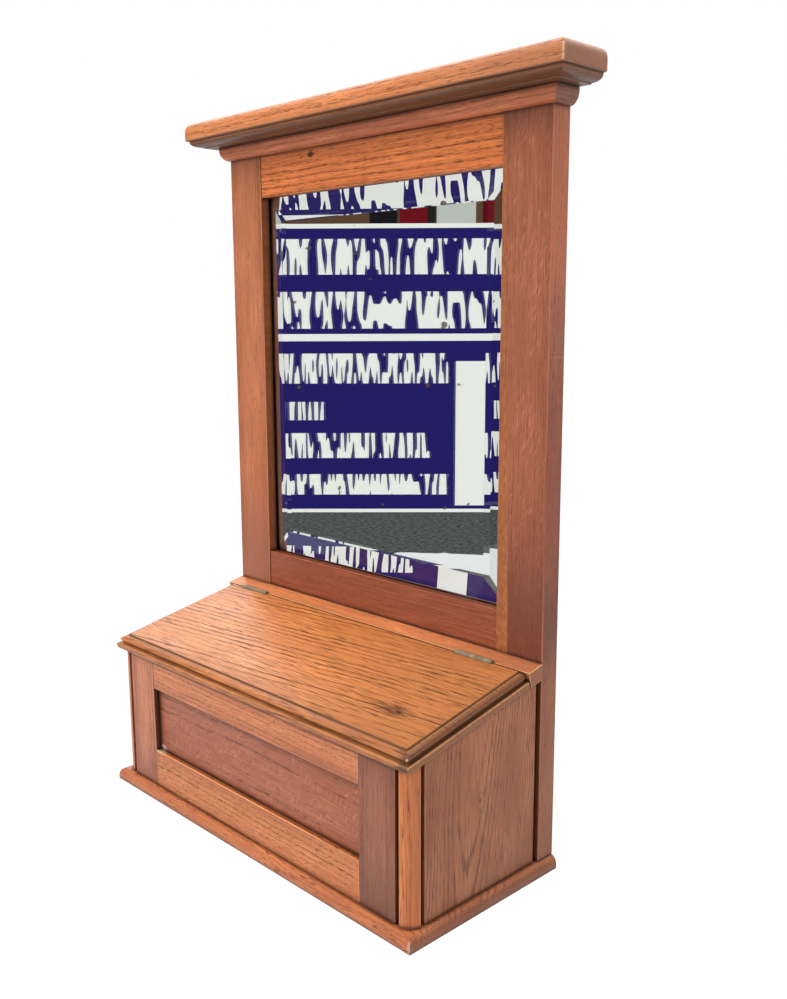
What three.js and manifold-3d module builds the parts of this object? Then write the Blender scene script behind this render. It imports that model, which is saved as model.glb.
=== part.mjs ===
// Oak hall mirror with a lift-up glove box at its foot.
//
// Units are millimetres. X runs across, +Z is up and the front faces -Y. While the pieces are worked out,
// the back of the frame lies on Y = 0 and the base board stands on Z = 0. The finished group is then moved
// so that its origin is the middle of the base board's underside.

import * as THREE from 'three';
import Module from 'manifold-3d';
import { mergeVertices } from 'three/addons/utils/BufferGeometryUtils.js';

const wasm = await Module();
wasm.setup();

// ---------------------------------------------------------------- clearances

const GLUE_GAP = 0.1;          // between two flat faces that are glued together
const SEAT = 0.3;              // between a piece and the sloping, turned or cut face that it rests on
const HOLE_CLEARANCE = 0.25;   // round a screw, nail, pin or tenon in its hole
const THROUGH = 1;             // how far a cut runs on past the face that it opens
const DRAFT = 0.15;            // slant of the steps in a moulding

// ---------------------------------------------------------------- mirror frame

const FRAME_WIDTH = 400;
const FRAME_THICKNESS = 19;
const STILE_WIDTH = 48;
const RAIL_SET_BACK = 0.8;     // how far the rails lie behind the stiles' faces
const SIGHT_ABOVE_HINGE = 38.5; // from the hinge axis up to the mirror opening
const SIGHT_HEIGHT = 350;
const TOP_RAIL_WIDTH = 51;
const BOTTOM_RAIL_WIDTH = 67;
const TENON_LENGTH = 28;
const TENON_THICKNESS = 6.5;
const TENON_SHOULDER = 5;      // from a rail's rebate or edge to its tenon

const STILE_REBATE = 7;        // how far the stiles' lips cover the glass
const RAIL_REBATE = 5.5;       // how far the rails' lips cover it
const BOX_BACK_REBATE = 8;     // how far the frame covers the box back

// ---------------------------------------------------------------- mirror

const GLASS_THICKNESS = 6;
const GLASS_EDGE = 2.2;         // thickness left at the edge of the bevel
const BEVEL_WIDTH = 27.5;
const GLASS_CLEARANCE = 0.6;
const BACKING_THICKNESS = 3.5;

// ---------------------------------------------------------------- cornice

const CORNICE_OVERHANG = 31.5;
const CORNICE_THICKNESS = 24;
const CORNICE_ROUND = 8.5;     // the worn top arris
const CORNICE_ARRIS = 1.6;     // under the fascia
const CORNICE_QUIRK = 1.4;
const CORNICE_OVOLO_WIDTH = 9;
const CORNICE_OVOLO_HEIGHT = 5;
const BED_MOULD_HEIGHT = 12.5;
const BED_MOULD_PROJECTION = 8;
const BED_MOULD_FILLET = 1.5;

// ---------------------------------------------------------------- box

const BASE_THICKNESS = 12.5;
const BASE_OVERHANG = 7;
const BASE_TOP_ROUND = 6.5;    // width of the rounded upper edge
const BASE_TOP_DROP = 8;       // height of the rounded upper edge
const BASE_UNDER_ROUND = 2.2;

const BOX_SET_IN = 2;          // from the frame's outer edge in to the box's side
const BOX_DEPTH = 165.2;       // from the frame's back to the box front
const POST_ROUND = 11.5;
const QUIRK_WIDTH = 3.8;
const QUIRK_DEPTH = 4;
const SIDE_THICKNESS = 12;

const FRONT_THICKNESS = 15;
const FRONT_STILE_WIDTH = 39;
const FRONT_BOTTOM_RAIL_WIDTH = 35.1;
const FRONT_TOP_RAIL_WIDTH = 27.6;
const PANEL_SET_BACK = 5.2;
const PANEL_THICKNESS = 6;
const PANEL_GROOVE = 6;
const PANEL_PLAY = 0.6;        // room for the panel to swell in its groove
const STUB_TENON = 12;
const BOX_BACK_THICKNESS = 6;

// ---------------------------------------------------------------- lid

const LID_SLOPE = THREE.MathUtils.degToRad(12.3);
const LID_SIDE_OVERHANG = 3;
const LID_FRONT_OVERHANG = 4.5;
const LID_THICKNESS = 13;
const LID_MOULD = 10.2;        // width of the moulded edge
const LID_OVOLO_WIDTH = 6;
const LID_STEP = 1.3;          // depth of the step round the flat field
const LID_NOSE_DROP = 4.2;     // from the top down to the nose of the ovolo
const LID_NOSE_SET_BACK = 3;   // from the lip in to the nose
const LID_GROOVE_DEPTH = 2;    // of the groove under the nose
const LID_LIP_DROP = 8;        // from the top down to the lip
const LID_LIP_EASE = 0.7;
const LID_CHAMFER = 1;         // along the foot of the lip
const LID_JOINT = 1.4;         // gap between lid and hinge rail
const AXIS_HEIGHT = 178.5;
const AXIS_FORWARD = 17.5;     // from the frame's face to the hinge axis

// ---------------------------------------------------------------- hardware

const HINGE_LENGTH = 40;
const HINGE_LEFT_INSET = 26.5;  // from the lid's left end to the left hinge
const HINGE_RIGHT_INSET = 37.5; // from the lid's right end to the right hinge
const HINGE_KNUCKLES = 5;
const KNUCKLE_RADIUS = 2.3;
const HINGE_PIN_RADIUS = 1;
const LEAF_THICKNESS = 1;
const LEAF_HEIGHT = 10.5;
const HINGE_SCREW_SPACING = 24;

const PLATE_WIDTH = 16;
const PLATE_HEIGHT = 46;
const PLATE_THICKNESS = 1.5;
const PLATE_DROP = 1;          // from the top of the mirror opening down to a plate
const PLATE_INSET = 22;        // from the frame's outer edge to a plate's middle
const PLATE_SCREW_INSET = 5;   // from a plate's end to the middle of its screw
const KEYHOLE_RADIUS = 4;
const KEYHOLE_SLOT = 4;
const KEYHOLE_HEIGHT = 11;
const KEYHOLE_POCKET = 7;      // depth of the pocket behind a plate, for the wall screw's head
const POCKET_ROOM = 1;         // round the keyhole's bore, and past the slot by a bore's radius

const BASE_SCREW = { head: 3.6, headDepth: 3, shank: 1.8, length: 32, sink: 0.6 };
const HINGE_SCREW = { head: 1.9, headDepth: 1, shank: 0.9, length: 10 };
const PLATE_SCREW = { head: 2.4, headDepth: 1.4, shank: 1.1, length: 12 };
const BACK_NAIL = { head: 1.5, headDepth: 0.7, shank: 0.7, length: 11 };
const SLOT_WIDTH = 0.3;        // of a screw's slot, as a share of its head's radius
const SLOT_DEPTH = 0.25;       // as a share of its head's depth

const BRAD_RADIUS = 0.6;
const BRAD_LENGTH = 13;
const BRAD_IN_WOOD = 7;
const BRAD_SINK = 0.35;        // from the frame's back in to the brads
const BRAD_ROWS = [['upper', 0.75], ['lower', 0.25]];  // heights as shares of the mirror opening's
const NAIL_ROWS = [['upper', 0.8], ['lower', 0.2]];    // heights as shares of the box back's

// Sides of the round pieces and holes.
const SCREW_SIDES = 12;
const BRAD_SIDES = 10;
const ROD_SIDES = 16;
const BORE_SIDES = 20;

// ---------------------------------------------------------------- finishes

function finish(color, roughness, metalness = 0) {
  return new THREE.MeshStandardMaterial({ color, roughness, metalness });
}

const OAK_BRIGHT = finish(0xd07a46, 0.45);
const OAK_BROWN = finish(0xa5684f, 0.5);
const OAK_DARK = finish(0x8c5038, 0.55);
const OAK_BACK = finish(0x7d5a3c, 0.8);
const BRASS = finish(0x9a8558, 0.45, 0.9);
const STEEL = finish(0x6f6a62, 0.5, 0.8);
const SILVERED = finish(0xdfe5e6, 0.05, 1);

// ---------------------------------------------------------------- geometry helpers

// A solid for cutting and joining, from a closed geometry in either winding.
function solid(geometry) {
  let bare = geometry.clone();
  bare.deleteAttribute('normal');
  bare.deleteAttribute('uv');
  bare = mergeVertices(bare, 1e-4);
  const at = bare.getAttribute('position');
  const index = Array.from(bare.getIndex().array);
  const corners = [];
  let volume = 0;
  const a = new THREE.Vector3();
  const b = new THREE.Vector3();
  const c = new THREE.Vector3();
  for (let i = 0; i < index.length; i += 3) {
    const [p, q, r] = index.slice(i, i + 3);
    if (p === q || q === r || r === p) continue;
    a.fromBufferAttribute(at, p);
    b.fromBufferAttribute(at, q);
    c.fromBufferAttribute(at, r);
    volume += a.dot(b.cross(c)) / 6;
    corners.push(p, q, r);
  }
  if (volume < 0) corners.reverse();
  return new wasm.Manifold(new wasm.Mesh({
    numProp: 3,
    vertProperties: new Float32Array(at.array),
    triVerts: new Uint32Array(corners),
  }));
}

function geometryOf(manifold) {
  const { vertProperties, triVerts } = manifold.getMesh();
  const geometry = new THREE.BufferGeometry();
  geometry.setAttribute('position', new THREE.BufferAttribute(new Float32Array(vertProperties), 3));
  geometry.setIndex(new THREE.BufferAttribute(new Uint32Array(triVerts), 1));
  geometry.computeVertexNormals();
  return geometry;
}

function cut(geometry, ...cutters) {
  let body = solid(geometry);
  for (const cutter of cutters.flat()) body = body.subtract(solid(cutter));
  return geometryOf(body);
}

function join(...geometries) {
  let body = solid(geometries[0]);
  for (const geometry of geometries.slice(1)) body = body.add(solid(geometry));
  return geometryOf(body);
}

// A box between two corners, given as a pair of limits for each axis.
function block([x0, x1], [y0, y1], [z0, z1]) {
  const box = new THREE.BoxGeometry(Math.abs(x1 - x0), Math.abs(y1 - y0), Math.abs(z1 - z0));
  return box.translate((x0 + x1) / 2, (y0 + y1) / 2, (z0 + z1) / 2);
}

// A closed skin through loops of points, with a flat cap on the first and the last loop.
function loft(loops) {
  const count = loops[0].length;
  const points = loops.flat();
  const index = [];
  for (let k = 0; k + 1 < loops.length; k++) {
    for (let i = 0; i < count; i++) {
      const j = (i + 1) % count;
      const low = k * count;
      const high = low + count;
      index.push(low + i, low + j, high + j, low + i, high + j, high + i);
    }
  }
  const flat = flatten(loops[0]);
  const last = (loops.length - 1) * count;
  for (const [p, q, r] of THREE.ShapeUtils.triangulateShape(flat, [])) {
    index.push(r, q, p, last + p, last + q, last + r);
  }
  const geometry = new THREE.BufferGeometry().setFromPoints(points);
  geometry.setIndex(index);
  return geometry;
}

// The loop's points in its own plane, turning left, for the caps.
function flatten(loop) {
  const normal = new THREE.Vector3();
  for (let i = 0; i < loop.length; i++) normal.add(loop[i].clone().cross(loop[(i + 1) % loop.length]));
  const turn = new THREE.Quaternion().setFromUnitVectors(normal.normalize(), new THREE.Vector3(0, 0, 1));
  return loop.map((point) => {
    const turned = point.clone().applyQuaternion(turn);
    return new THREE.Vector2(turned.x, turned.y);
  });
}

// An upright prism over an outline given as [x, y] pairs.
function upright(outline, z0, z1) {
  return loft([z0, z1].map((z) => outline.map(([x, y]) => new THREE.Vector3(x, y, z))));
}

// A prism along X over an outline given as [y, z] pairs.
function lengthwise(outline, x0, x1) {
  return loft([x0, x1].map((x) => outline.map(([y, z]) => new THREE.Vector3(x, y, z))));
}

// A board whose front and two end edges are moulded and whose back edge is flat on y = back. The profile
// lists [projection, z] from the underside to the top; at projection 0 the board is as wide and as deep
// as given.
function mouldedBoard(halfWidth, back, front, profile) {
  return loft(profile.map(([projection, z]) => [
    new THREE.Vector3(-halfWidth - projection, back, z),
    new THREE.Vector3(-halfWidth - projection, front - projection, z),
    new THREE.Vector3(halfWidth + projection, front - projection, z),
    new THREE.Vector3(halfWidth + projection, back, z),
  ]));
}

// Points on a quarter of an ellipse about (cx, cz), from one angle to another in quarter turns.
function quarter(cx, cz, rx, rz, from, to, steps) {
  const points = [];
  for (let i = 0; i <= steps; i++) {
    const angle = (from + (to - from) * (i / steps)) * (Math.PI / 2);
    points.push([cx + rx * Math.cos(angle), cz + rz * Math.sin(angle)]);
  }
  return points;
}

// A turned piece with its head at the origin and its tip along the direction given.
function turned(profile, at, direction, sides = SCREW_SIDES) {
  const points = profile.map(([radius, along]) => new THREE.Vector2(radius, along));
  const geometry = new THREE.LatheGeometry(points, sides);
  const turn = new THREE.Quaternion().setFromUnitVectors(new THREE.Vector3(0, 1, 0), direction);
  return geometry.applyQuaternion(turn).translate(at.x, at.y, at.z);
}

const ALONG_X = new THREE.Vector3(1, 0, 0);
const ALONG_Y = new THREE.Vector3(0, 1, 0);
const ALONG_Z = new THREE.Vector3(0, 0, 1);
const FORWARD = new THREE.Vector3(0, -1, 0);

function rod(radius, length, at, direction, sides = ROD_SIDES) {
  return turned([[0, 0], [radius, 0], [radius, length], [0, length]], at, direction, sides);
}

// A countersunk screw or, with room all round it, the hole that it needs.
function screwProfile({ head, headDepth, shank, length }, room = 0) {
  const top = room > 0 ? -2 * headDepth : 0;
  const points = [[0, top], [head + room, top]];
  if (room > 0) points.push([head + room, 0]);
  points.push([shank + room, headDepth + room], [shank + room, length - 2 * shank], [0, length + room]);
  return points;
}

function screw(size, at, direction, slotDirection) {
  const slot = new THREE.BoxGeometry(
    2 * (size.head + THROUGH), 2 * SLOT_DEPTH * size.headDepth, SLOT_WIDTH * size.head);
  const turn = new THREE.Matrix4().makeBasis(
    slotDirection, direction, new THREE.Vector3().crossVectors(slotDirection, direction));
  slot.applyMatrix4(turn).translate(at.x, at.y, at.z);
  return cut(turned(screwProfile(size), at, direction), slot);
}

function screwHole(size, at, direction) {
  return turned(screwProfile(size, HOLE_CLEARANCE), at, direction);
}

// ---------------------------------------------------------------- derived places

const mirrored = [{ side: -1, name: 'left' }, { side: 1, name: 'right' }];

const frameHalf = FRAME_WIDTH / 2;
const sightHalf = frameHalf - STILE_WIDTH;
const sightBottom = AXIS_HEIGHT + SIGHT_ABOVE_HINGE;
const sightTop = sightBottom + SIGHT_HEIGHT;
const frameFace = -FRAME_THICKNESS;
const railFace = frameFace + RAIL_SET_BACK;
const frameFoot = BASE_THICKNESS + GLUE_GAP;
const frameTop = sightTop + TOP_RAIL_WIDTH;
const bottomRailFoot = sightBottom - BOTTOM_RAIL_WIDTH;

// The brads lie behind the backing board, the glass lies on its front, and the glass's bevel meets the
// back of the stiles' and rails' lips.
const backingRear = -BRAD_SINK - 2 * BRAD_RADIUS - SEAT / 2;
const backingFront = backingRear - BACKING_THICKNESS;
const glassBack = backingFront - SEAT;
const glassAtStile = GLASS_EDGE + (GLASS_THICKNESS - GLASS_EDGE)
  * Math.min(1, Math.max(0, STILE_REBATE - GLASS_CLEARANCE) / BEVEL_WIDTH);
const glassAtRail = GLASS_EDGE + (GLASS_THICKNESS - GLASS_EDGE)
  * Math.min(1, Math.max(0, RAIL_REBATE - GLASS_CLEARANCE) / BEVEL_WIDTH);
const lipBack = glassBack - Math.max(glassAtStile, glassAtRail) - SEAT;

const glassHalf = sightHalf + STILE_REBATE - GLASS_CLEARANCE;
const glassFoot = sightBottom - RAIL_REBATE + GLASS_CLEARANCE;
const glassTop = sightTop + RAIL_REBATE - GLASS_CLEARANCE;

const boxHalf = frameHalf - BOX_SET_IN;
const boxFace = -BOX_DEPTH;
const postInner = boxHalf - POST_ROUND - QUIRK_WIDTH;
const postBack = boxFace + POST_ROUND + QUIRK_WIDTH;
const panelFace = boxFace + PANEL_SET_BACK;
const panelBack = panelFace + PANEL_THICKNESS;

const baseDepth = BOX_DEPTH + BASE_OVERHANG;
const axisY = frameFace - AXIS_FORWARD;
const lidHalf = boxHalf + LID_SIDE_OVERHANG;

// Along the slope, from the hinge axis to the lid's nose.
const lidLength = (axisY - boxFace + LID_FRONT_OVERHANG + LID_LIP_DROP * Math.sin(LID_SLOPE))
  / Math.cos(LID_SLOPE);

// Height of the box's upper edge, under the lid, at a distance y from the frame's back.
function underLid(y) {
  return AXIS_HEIGHT + (y - axisY) * Math.tan(LID_SLOPE) - (LID_THICKNESS + SEAT) / Math.cos(LID_SLOPE);
}

const frontOpeningHalf = postInner - GLUE_GAP - FRONT_STILE_WIDTH;
const frontOpeningFoot = frameFoot + FRONT_BOTTOM_RAIL_WIDTH;
const frontOpeningTop = underLid(boxFace) - FRONT_TOP_RAIL_WIDTH;

// The lid, its hinges and everything that follows its slope are drawn in a frame whose origin is on the
// hinge axis, with the lid's flat top on z = 0 and the lid reaching towards -y.
const slope = new THREE.Group();
slope.position.set(0, axisY, AXIS_HEIGHT);
slope.rotation.x = LID_SLOPE;
slope.updateMatrix();

function onSlope(geometry) {
  return geometry.applyMatrix4(slope.matrix);
}

// Everything above the lid's underside, to trim the box's upper edges.
function aboveBox() {
  const reach = 2 * BOX_DEPTH;
  return onSlope(block([-FRAME_WIDTH, FRAME_WIDTH], [-reach, reach], [-LID_THICKNESS - SEAT, reach]));
}

const trimHeight = AXIS_HEIGHT + LID_THICKNESS;

// ---------------------------------------------------------------- assembly

const mirror = new THREE.Group();
mirror.position.y = baseDepth / 2;
mirror.add(slope);

function add(name, geometry, material, parent = mirror) {
  const mesh = new THREE.Mesh(geometryOf(solid(geometry)), material);
  mesh.name = name;
  parent.add(mesh);
}

// ---------------------------------------------------------------- fixings

// Screws up through the base board, into the stiles, the corner posts and the box front.
const baseScrews = [];
for (const { side, name } of mirrored) {
  const stileMiddle = side * (frameHalf - STILE_WIDTH / 2);
  const postMiddle = side * (boxHalf - (POST_ROUND + QUIRK_WIDTH) / 2);
  const postMiddleY = boxFace + (POST_ROUND + QUIRK_WIDTH) / 2;
  const frontMiddle = side * (frontOpeningHalf / 2);
  const places = [
    ['stile', stileMiddle, frameFace / 2],
    ['post', postMiddle, postMiddleY],
    ['front', frontMiddle, boxFace + FRONT_THICKNESS / 2],
  ];
  for (const [target, x, y] of places) {
    const at = new THREE.Vector3(x, y, BASE_SCREW.sink);
    baseScrews.push({ name: `base_screw_${target}_${name}`, side, target, at });
  }
}

function baseScrewHoles(wanted = () => true) {
  return baseScrews.filter(wanted).map(({ at }) => screwHole(BASE_SCREW, at, ALONG_Z));
}

// Brads that lie behind the mirror's backing board and are driven into the frame round it.
const bradY = -BRAD_SINK - BRAD_RADIUS;
const brads = [];
for (const { side, name } of mirrored) {
  for (const [row, share] of BRAD_ROWS) {
    const wall = side * (sightHalf + STILE_REBATE);
    brads.push({
      name: `backing_brad_${name}_${row}`,
      target: `stile_${name}`,
      at: new THREE.Vector3(wall + side * BRAD_IN_WOOD, bradY, sightBottom + share * SIGHT_HEIGHT),
      direction: new THREE.Vector3(-side, 0, 0),
    });
  }
}
brads.push({
  name: 'backing_brad_top',
  target: 'top_rail',
  at: new THREE.Vector3(0, bradY, sightTop + RAIL_REBATE + BRAD_IN_WOOD),
  direction: new THREE.Vector3(0, 0, -1),
});
brads.push({
  name: 'backing_brad_bottom',
  target: 'bottom_rail',
  at: new THREE.Vector3(0, bradY, sightBottom - RAIL_REBATE - BRAD_IN_WOOD),
  direction: new THREE.Vector3(0, 0, 1),
});

function bradHoles(target) {
  return brads.filter((brad) => brad.target === target).map(({ at, direction }) => {
    const start = at.clone().addScaledVector(direction, -HOLE_CLEARANCE);
    return rod(BRAD_RADIUS + HOLE_CLEARANCE / 2, BRAD_LENGTH, start, direction, BRAD_SIDES);
  });
}

// Nails through the box back into the stiles' lips.
const boxBackFront = lipBack + SEAT;
const boxBackRear = boxBackFront + BOX_BACK_THICKNESS;
const boxBackTop = bottomRailFoot + BOX_BACK_REBATE - GLASS_CLEARANCE;
const backNails = [];
for (const { side, name } of mirrored) {
  for (const [row, share] of NAIL_ROWS) {
    const height = frameFoot + share * (boxBackTop - frameFoot);
    backNails.push({
      name: `box_back_nail_${name}_${row}`,
      side,
      at: new THREE.Vector3(side * (sightHalf + BOX_BACK_REBATE / 2), boxBackRear, height),
    });
  }
}

function backNailHoles(side) {
  return backNails.filter((nail) => side === undefined || nail.side === side)
    .map(({ at }) => screwHole(BACK_NAIL, at, FORWARD));
}

for (const { name, at } of baseScrews) add(name, screw(BASE_SCREW, at, ALONG_Z, ALONG_X), STEEL);
for (const { name, at, direction } of brads) {
  add(name, rod(BRAD_RADIUS, BRAD_LENGTH, at, direction, BRAD_SIDES), STEEL);
}
for (const { name, at } of backNails) add(name, turned(screwProfile(BACK_NAIL), at, FORWARD), STEEL);

// ---------------------------------------------------------------- base board

function baseBoard() {
  const round = Math.min(BASE_TOP_ROUND, BASE_OVERHANG);
  const drop = Math.min(BASE_TOP_DROP, BASE_THICKNESS - BASE_UNDER_ROUND - DRAFT);
  const under = quarter(BASE_OVERHANG - BASE_UNDER_ROUND, BASE_UNDER_ROUND,
    BASE_UNDER_ROUND, BASE_UNDER_ROUND, -1, 0, 3);
  const over = quarter(BASE_OVERHANG - round, BASE_THICKNESS - drop, round, drop, 0, 1, 7);
  const board = mouldedBoard(boxHalf, 0, boxFace, [...under, ...over]);
  return cut(board, baseScrewHoles());
}

add('base_board', baseBoard(), OAK_BRIGHT);

// ---------------------------------------------------------------- hanging plates

const plateMiddle = sightTop - PLATE_DROP - PLATE_HEIGHT / 2;
const plateBack = -GLUE_GAP;
const plateFront = plateBack - PLATE_THICKNESS;

function plateOutline(room = 0) {
  const half = PLATE_WIDTH / 2 + room;
  const straight = PLATE_HEIGHT / 2 - PLATE_WIDTH / 2;
  const top = quarter(0, straight, half, half, 0, 2, 10);
  const foot = quarter(0, -straight, half, half, 2, 4, 10);
  return [...top, ...foot];
}

// The keyhole: a round hole that passes the wall screw's head, and a slot above it for the shank.
const boreHeight = plateMiddle - KEYHOLE_RADIUS;
const slotTop = boreHeight + KEYHOLE_HEIGHT;

function keyhole(x, y0, y1) {
  const bore = rod(KEYHOLE_RADIUS, y1 - y0, new THREE.Vector3(x, y0, boreHeight), ALONG_Y, BORE_SIDES);
  const slot = block([x - KEYHOLE_SLOT / 2, x + KEYHOLE_SLOT / 2], [y0, y1], [boreHeight, slotTop]);
  return join(bore, slot);
}

function plateSlab(x, room, y0, y1) {
  const outline = plateOutline(room).map(([across, up]) => [x + across, plateMiddle + up]);
  return loft([y1, y0].map((y) => outline.map(([across, up]) => new THREE.Vector3(across, y, up))));
}

function plateScrews(side) {
  const x = side * (frameHalf - PLATE_INSET);
  const reach = PLATE_HEIGHT / 2 - PLATE_SCREW_INSET;
  return [['upper', 1], ['lower', -1]].map(([row, sign]) => ({
    row,
    at: new THREE.Vector3(x, plateBack, plateMiddle + sign * reach),
  }));
}

function plateScrewHoles(side) {
  return plateScrews(side).map(({ at }) => screwHole(PLATE_SCREW, at, FORWARD));
}

function plateRecess(side) {
  const x = side * (frameHalf - PLATE_INSET);
  const half = KEYHOLE_RADIUS + POCKET_ROOM;
  const pocket = block([x - half, x + half], [plateFront - KEYHOLE_POCKET, THROUGH],
    [boreHeight - half, slotTop + KEYHOLE_RADIUS]);
  return [plateSlab(x, SEAT, plateFront - GLUE_GAP, THROUGH), pocket, ...plateScrewHoles(side)];
}

for (const { side, name } of mirrored) {
  const x = side * (frameHalf - PLATE_INSET);
  const opening = keyhole(x, plateFront - THROUGH, plateBack + THROUGH);
  const plate = cut(plateSlab(x, 0, plateFront, plateBack), opening, plateScrewHoles(side));
  add(`hanging_plate_${name}`, plate, BRASS);
  for (const { row, at } of plateScrews(side)) {
    add(`plate_screw_${name}_${row}`, screw(PLATE_SCREW, at, FORWARD, ALONG_X), BRASS);
  }
}

// ---------------------------------------------------------------- frame

// The tenons' middle plane is the frame's own middle.
const tenonMiddle = frameFace / 2;
const tenonDepths = [tenonMiddle - TENON_THICKNESS / 2, tenonMiddle + TENON_THICKNESS / 2];
const bottomTenon = [
  bottomRailFoot + BOX_BACK_REBATE + TENON_SHOULDER,
  sightBottom - RAIL_REBATE - TENON_SHOULDER,
];
const topTenon = [sightTop + RAIL_REBATE + TENON_SHOULDER, frameTop - TENON_SHOULDER];

function widened([low, high], room) {
  return [low - room, high + room];
}

function mortise(side, tenon) {
  const mouth = side * (sightHalf - THROUGH);
  const end = side * (sightHalf + TENON_LENGTH + HOLE_CLEARANCE);
  return block([mouth, end], widened(tenonDepths, HOLE_CLEARANCE), widened(tenon, HOLE_CLEARANCE));
}

function stile(side, name) {
  const inner = side * sightHalf;
  const board = block([inner, side * frameHalf], [frameFace, 0], [frameFoot, frameTop]);
  const open = side * (sightHalf - THROUGH);
  const glassRebate = block([open, side * (sightHalf + STILE_REBATE)], [lipBack, THROUGH],
    [sightBottom - RAIL_REBATE, sightTop + RAIL_REBATE]);
  const backRebate = block([open, side * (sightHalf + BOX_BACK_REBATE)], [lipBack, THROUGH],
    [frameFoot - THROUGH, bottomRailFoot + BOX_BACK_REBATE]);
  return cut(board, glassRebate, backRebate, mortise(side, bottomTenon), mortise(side, topTenon),
    plateRecess(side), bradHoles(`stile_${name}`), backNailHoles(side),
    baseScrewHoles((fixing) => fixing.target === 'stile' && fixing.side === side));
}

function rail(foot, head, tenon, rebates, name) {
  const half = sightHalf - GLUE_GAP;
  const board = block([-half, half], [railFace, 0], [foot, head]);
  const reach = sightHalf + TENON_LENGTH;
  const tongue = block([-reach, reach], tenonDepths, tenon);
  const across = [-FRAME_WIDTH, FRAME_WIDTH];
  const channels = rebates.map((heights) => block(across, [lipBack, THROUGH], heights));
  return cut(join(board, tongue), channels, bradHoles(name));
}

for (const { side, name } of mirrored) add(`stile_${name}`, stile(side, name), OAK_BROWN);

add('bottom_rail', rail(bottomRailFoot, sightBottom, bottomTenon, [
  [sightBottom - RAIL_REBATE, sightBottom + THROUGH],
  [bottomRailFoot - THROUGH, bottomRailFoot + BOX_BACK_REBATE],
], 'bottom_rail'), OAK_DARK);

add('top_rail', rail(sightTop, frameTop, topTenon, [
  [sightTop - THROUGH, sightTop + RAIL_REBATE],
], 'top_rail'), OAK_BRIGHT);

add('box_back', cut(
  block([-sightHalf - BOX_BACK_REBATE + GLASS_CLEARANCE, sightHalf + BOX_BACK_REBATE - GLASS_CLEARANCE],
    [boxBackFront, boxBackRear], [frameFoot, boxBackTop]),
  backNailHoles()), OAK_BACK);

// ---------------------------------------------------------------- mirror plate

// A flat back, and a front whose four edges are ground down in a bevel with mitred corners.
function mirrorGlass() {
  const rectangle = (half, foot, head, y) => [
    new THREE.Vector3(-half, y, foot),
    new THREE.Vector3(half, y, foot),
    new THREE.Vector3(half, y, head),
    new THREE.Vector3(-half, y, head),
  ];
  const edge = rectangle(glassHalf, glassFoot, glassTop, glassBack - GLASS_EDGE);
  const face = rectangle(glassHalf - BEVEL_WIDTH, glassFoot + BEVEL_WIDTH, glassTop - BEVEL_WIDTH,
    glassBack - GLASS_THICKNESS);
  return loft([rectangle(glassHalf, glassFoot, glassTop, glassBack), edge, face]);
}

add('mirror_glass', mirrorGlass(), SILVERED);
add('mirror_backing',
  block([-glassHalf, glassHalf], [backingFront, backingRear], [glassFoot, glassTop]), OAK_BACK);

// ---------------------------------------------------------------- cornice

function corniceBoard() {
  const top = frameTop + CORNICE_THICKNESS;
  const quirkTop = frameTop + CORNICE_QUIRK / 2 + CORNICE_OVOLO_HEIGHT;
  const fascia = CORNICE_OVERHANG;
  const ovoloOuter = fascia - CORNICE_ARRIS - CORNICE_QUIRK;
  const ovoloInner = ovoloOuter - CORNICE_OVOLO_WIDTH;
  const profile = [
    [ovoloInner - CORNICE_QUIRK, frameTop],
    [ovoloInner - CORNICE_QUIRK + DRAFT, frameTop + CORNICE_QUIRK / 2],
    ...quarter(ovoloInner, quirkTop, CORNICE_OVOLO_WIDTH, CORNICE_OVOLO_HEIGHT - DRAFT, -1, 0, 6),
    [ovoloOuter - DRAFT, quirkTop + CORNICE_QUIRK / 2],
    ...quarter(fascia - CORNICE_ARRIS, quirkTop + CORNICE_QUIRK / 2 + DRAFT + CORNICE_ARRIS,
      CORNICE_ARRIS, CORNICE_ARRIS, -1, 0, 3),
    ...quarter(fascia - CORNICE_ROUND, top - CORNICE_ROUND, CORNICE_ROUND, CORNICE_ROUND, 0, 1, 7),
  ];
  return mouldedBoard(frameHalf, 0, frameFace, profile.map(([p, z]) => [p, z + GLUE_GAP]));
}

add('cornice_board', corniceBoard(), OAK_BRIGHT);

// The bed mould: a quarter round under the cornice, mitred round the frame's front corners.
function bedMouldProfile() {
  const foot = frameTop - BED_MOULD_HEIGHT;
  const belly = quarter(GLUE_GAP, frameTop - BED_MOULD_FILLET, BED_MOULD_PROJECTION - GLUE_GAP,
    BED_MOULD_HEIGHT - BED_MOULD_FILLET, -1, 0, 7);
  return [[GLUE_GAP, frameTop - GLUE_GAP], [GLUE_GAP, foot], ...belly.slice(1),
    [BED_MOULD_PROJECTION, frameTop - GLUE_GAP]];
}

const mitreGap = GLUE_GAP / 2;

add('bed_mould_front', loft([-1, 1].map((end) => bedMouldProfile().map(([p, z]) =>
  new THREE.Vector3(end * (frameHalf + p - mitreGap), frameFace - p, z)))), OAK_BRIGHT);

for (const { side, name } of mirrored) {
  const section = (y, mitred) => bedMouldProfile().map(([p, z]) =>
    new THREE.Vector3(side * (frameHalf + p), mitred ? y - p + mitreGap : y, z));
  add(`bed_mould_${name}`, loft([section(0, false), section(frameFace, true)]), OAK_BROWN);
}

// ---------------------------------------------------------------- box

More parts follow.
